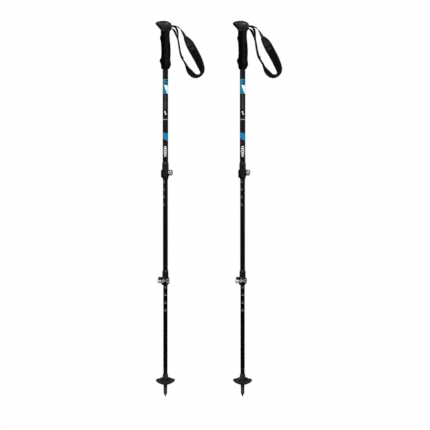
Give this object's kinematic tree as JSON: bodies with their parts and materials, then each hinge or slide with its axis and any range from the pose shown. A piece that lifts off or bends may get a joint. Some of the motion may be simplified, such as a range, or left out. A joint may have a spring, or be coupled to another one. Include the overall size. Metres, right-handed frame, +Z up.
{
  "type": "trekking poles",
  "caption": "Pair of telescopic trekking poles with lever clamps, foam grips, padded wrist straps, trekking baskets and metal tips.",
  "frame": {"origin": "the left pole's metal tip point on the ground, on the left shaft's axis", "axes": "+Z up along the shafts; -X forward, the way the grips' beaks point; +X towards the wrist straps and the right pole; -Y faces the viewer"},
  "size_m": [0.4144, 0.0628, 1.2266],
  "materials": {
    "grip_rubber": "moulded rubber, satin",
    "cap_plastic": "moulded plastic, fine grain",
    "grip_foam": "closed-cell foam, matt with a fine open texture",
    "liner_plastic": "extruded plastic",
    "wedge_plastic": "moulded plastic with grip ribs",
    "steel": "turned steel",
    "webbing": "woven webbing",
    "strap_padding": "brushed fabric over thin padding, bound and stitched edges",
    "upper_tube_paint": "black paint with printed blue, white and grey graphics",
    "middle_tube_anodised": "black anodised with printed grey length marks",
    "lower_tube_anodised": "black anodised with printed grey length marks",
    "bush_plastic": "natural acetal",
    "clamp_plastic": "moulded glass-filled nylon",
    "lever_plastic": "moulded glass-filled nylon, satin",
    "bright_aluminium": "turned and lightly brushed",
    "tip_plastic": "moulded nylon",
    "carbide": "ground, dark",
    "basket_plastic": "moulded flexible plastic"
  },
  "bodies": {
    "left_upper": {"left_grip_head": "grip_rubber", "left_grip_cap": "cap_plastic", "left_grip_foam": "grip_foam", "left_grip_liner": "liner_plastic", "left_strap_pin": "steel", "left_upper_tube": "upper_tube_paint", "left_upper_lock_body": "clamp_plastic", "left_upper_lock_barrel": "bright_aluminium", "left_upper_lock_screw": "steel", "left_upper_lock_pivot": "steel"},
    "left_strap": {"left_strap_webbing": "webbing", "left_strap_pad": "strap_padding"},
    "left_wedge": {"left_strap_wedge": "wedge_plastic"},
    "left_upper_lever": {"left_upper_lock_cam": "bright_aluminium", "left_upper_lock_lever": "lever_plastic"},
    "left_upper_nut": {"left_upper_lock_nut": "bright_aluminium"},
    "left_middle_carrier": {"left_middle_bush": "bush_plastic"},
    "left_middle": {"left_middle_tube": "middle_tube_anodised", "left_lower_lock_body": "clamp_plastic", "left_lower_lock_barrel": "bright_aluminium", "left_lower_lock_screw": "steel", "left_lower_lock_pivot": "steel"},
    "left_lower_lever": {"left_lower_lock_cam": "bright_aluminium", "left_lower_lock_lever": "lever_plastic"},
    "left_lower_nut": {"left_lower_lock_nut": "bright_aluminium"},
    "left_lower_carrier": {"left_lower_bush": "bush_plastic"},
    "left_lower": {"left_lower_tube": "lower_tube_anodised", "left_tip_sleeve": "tip_plastic", "left_tip_carbide": "carbide"},
    "left_basket": {"left_basket": "basket_plastic"},
    "right_upper": {"right_grip_head": "grip_rubber", "right_grip_cap": "cap_plastic", "right_grip_foam": "grip_foam", "right_grip_liner": "liner_plastic", "right_strap_pin": "steel", "right_upper_tube": "upper_tube_paint", "right_upper_lock_body": "clamp_plastic", "right_upper_lock_barrel": "bright_aluminium", "right_upper_lock_screw": "steel", "right_upper_lock_pivot": "steel"},
    "right_strap": {"right_strap_webbing": "webbing", "right_strap_pad": "strap_padding"},
    "right_wedge": {"right_strap_wedge": "wedge_plastic"},
    "right_upper_lever": {"right_upper_lock_cam": "bright_aluminium", "right_upper_lock_lever": "lever_plastic"},
    "right_upper_nut": {"right_upper_lock_nut": "bright_aluminium"},
    "right_middle_carrier": {"right_middle_bush": "bush_plastic"},
    "right_middle": {"right_middle_tube": "middle_tube_anodised", "right_lower_lock_body": "clamp_plastic", "right_lower_lock_barrel": "bright_aluminium", "right_lower_lock_screw": "steel", "right_lower_lock_pivot": "steel"},
    "right_lower_lever": {"right_lower_lock_cam": "bright_aluminium", "right_lower_lock_lever": "lever_plastic"},
    "right_lower_nut": {"right_lower_lock_nut": "bright_aluminium"},
    "right_lower_carrier": {"right_lower_bush": "bush_plastic"},
    "right_lower": {"right_lower_tube": "lower_tube_anodised", "right_tip_sleeve": "tip_plastic", "right_tip_carbide": "carbide"},
    "right_basket": {"right_basket": "basket_plastic"}
  },
  "joints": [
    {"name": "left_strap_swing", "type": "hinge", "parent": "left_upper", "child": "left_strap", "pos_m": [0.015, 0, 1.207], "axis": [0, 1, 0], "range_deg": [-29, 14]},
    {"name": "left_wedge_lift", "type": "slide", "parent": "left_upper", "child": "left_wedge", "axis": [0, 0, 1], "range_m": [0, 0.008]},
    {"name": "left_upper_lever_open", "type": "hinge", "parent": "left_upper", "child": "left_upper_lever", "pos_m": [0.0175, 0.0087, 0.7305], "axis": [0, 0, -1], "range_deg": [0, 150]},
    {"name": "left_upper_nut_spin", "type": "hinge", "parent": "left_upper", "child": "left_upper_nut", "pos_m": [0.0175, 0, 0.7305], "axis": [0, 1, 0], "continuous": true},
    {"name": "left_middle_slide", "type": "slide", "parent": "left_upper", "child": "left_middle_carrier", "axis": [0, 0, 1], "range_m": [-0.062, 0.288]},
    {"name": "left_middle_turn", "type": "hinge", "parent": "left_middle_carrier", "child": "left_middle", "pos_m": [0, 0, 0.7305], "axis": [0, 0, 1], "continuous": true},
    {"name": "left_lower_lever_open", "type": "hinge", "parent": "left_middle", "child": "left_lower_lever", "pos_m": [0.0087, -0.0164, 0.3788], "axis": [0, 0, -1], "range_deg": [0, 150]},
    {"name": "left_lower_nut_spin", "type": "hinge", "parent": "left_middle", "child": "left_lower_nut", "pos_m": [0, -0.0164, 0.3788], "axis": [1, 0, 0], "continuous": true},
    {"name": "left_lower_slide", "type": "slide", "parent": "left_middle", "child": "left_lower_carrier", "axis": [0, 0, 1], "range_m": [-0.061, 0.285]},
    {"name": "left_lower_turn", "type": "hinge", "parent": "left_lower_carrier", "child": "left_lower", "pos_m": [0, 0, 0.3788], "axis": [0, 0, 1], "continuous": true},
    {"name": "left_basket_turn", "type": "hinge", "parent": "left_lower", "child": "left_basket", "pos_m": [0, 0, 0.056], "axis": [0, 0, 1], "continuous": true},
    {"name": "right_strap_swing", "type": "hinge", "parent": "right_upper", "child": "right_strap", "pos_m": [0.2674, 0, 1.207], "axis": [0, 1, 0], "range_deg": [-29, 14]},
    {"name": "right_wedge_lift", "type": "slide", "parent": "right_upper", "child": "right_wedge", "axis": [0, 0, 1], "range_m": [0, 0.008]},
    {"name": "right_upper_lever_open", "type": "hinge", "parent": "right_upper", "child": "right_upper_lever", "pos_m": [0.2699, 0.0087, 0.7305], "axis": [0, 0, -1], "range_deg": [0, 150]},
    {"name": "right_upper_nut_spin", "type": "hinge", "parent": "right_upper", "child": "right_upper_nut", "pos_m": [0.2699, 0, 0.7305], "axis": [0, 1, 0], "continuous": true},
    {"name": "right_middle_slide", "type": "slide", "parent": "right_upper", "child": "right_middle_carrier", "axis": [0, 0, 1], "range_m": [-0.062, 0.288]},
    {"name": "right_middle_turn", "type": "hinge", "parent": "right_middle_carrier", "child": "right_middle", "pos_m": [0.2524, 0, 0.7305], "axis": [0, 0, 1], "continuous": true},
    {"name": "right_lower_lever_open", "type": "hinge", "parent": "right_middle", "child": "right_lower_lever", "pos_m": [0.2611, -0.0164, 0.3788], "axis": [0, 0, -1], "range_deg": [0, 150]},
    {"name": "right_lower_nut_spin", "type": "hinge", "parent": "right_middle", "child": "right_lower_nut", "pos_m": [0.2524, -0.0164, 0.3788], "axis": [1, 0, 0], "continuous": true},
    {"name": "right_lower_slide", "type": "slide", "parent": "right_middle", "child": "right_lower_carrier", "axis": [0, 0, 1], "range_m": [-0.061, 0.285]},
    {"name": "right_lower_turn", "type": "hinge", "parent": "right_lower_carrier", "child": "right_lower", "pos_m": [0.2524, 0, 0.3788], "axis": [0, 0, 1], "continuous": true},
    {"name": "right_basket_turn", "type": "hinge", "parent": "right_lower", "child": "right_basket", "pos_m": [0.2524, 0, 0.056], "axis": [0, 0, 1], "continuous": true},
    {"name": "pole_spacing", "type": "slide", "parent": "left_upper", "child": "right_upper", "axis": [1, 0, 0], "range_m": [0, 0.3]}
  ]
}
